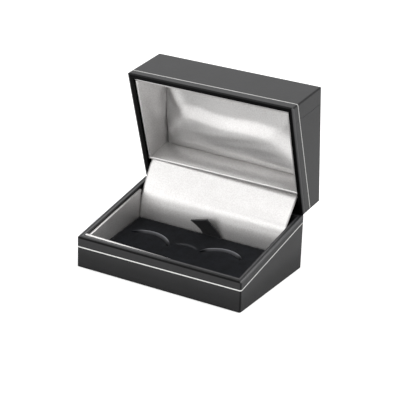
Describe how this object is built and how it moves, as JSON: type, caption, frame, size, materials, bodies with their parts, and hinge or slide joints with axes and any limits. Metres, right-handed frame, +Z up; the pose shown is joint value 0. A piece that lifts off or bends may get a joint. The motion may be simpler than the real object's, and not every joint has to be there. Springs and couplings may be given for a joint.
{
  "type": "cufflink display box",
  "caption": "Hinged leatherette presentation box, drawn open, with a satin-lined cushioned lid and a lift-out velvet pad with curved slits that hold cufflinks.",
  "frame": {"origin": "centre of the underside, on the paper sheet that the box stands on", "axes": "+X to the right as the box is looked at from the front, +Y from the front wall to the hinge, +Z up out of the base"},
  "size_m": [0.08, 0.0681, 0.0794],
  "materials": {
    "shell": "plain moulded, hidden by the covering",
    "leatherette": "fine-grained, dull sheen",
    "foil": "hot-pressed pale foil",
    "paper": "plain black",
    "card": "plain",
    "satin": "satin weave over card, soft sheen",
    "velvet": "short-pile velvet",
    "foam": "soft foam sheet",
    "ribbon": "ribbed ribbon, doubled",
    "steel": "rolled sheet steel"
  },
  "bodies": {
    "base": {"base_shell": "shell", "base_covering": "leatherette", "base_foil_line": "foil", "base_underside_sheet": "paper", "base_front_liner": "satin", "base_left_liner": "satin", "base_right_liner": "satin", "base_rear_liner": "satin", "satin_flap": "satin", "base_hinge_leaf": "steel", "base_hinge_rivets": "steel", "hinge_pin": "steel", "snap_springs": "steel", "hinge_strip": "leatherette"},
    "lid": {"lid_shell": "shell", "lid_covering": "leatherette", "lid_side_coverings": "leatherette", "lid_foil_line": "foil", "lid_front_liner": "satin", "lid_left_liner": "satin", "lid_right_liner": "satin", "lid_rear_liner": "satin", "lid_cushion_card": "card", "lid_cushion": "satin", "lid_hinge_leaf": "steel", "lid_hinge_rivets": "steel"},
    "insert": {"pad_card": "card", "pad_foam": "foam", "pad_velvet": "velvet", "lifting_ribbon": "ribbon"}
  },
  "joints": [
    {"name": "lid_hinge", "type": "hinge", "parent": "base", "child": "lid", "pos_m": [0, 0.02645, 0.025], "axis": [1, 0, 0], "range_deg": [0, 84.4], "deforming": ["satin_flap", "hinge_strip", "snap_springs"]},
    {"name": "insert_lift", "type": "slide", "parent": "base", "child": "insert", "axis": [0, 0, 1], "range_m": [0, 0.05]}
  ]
}
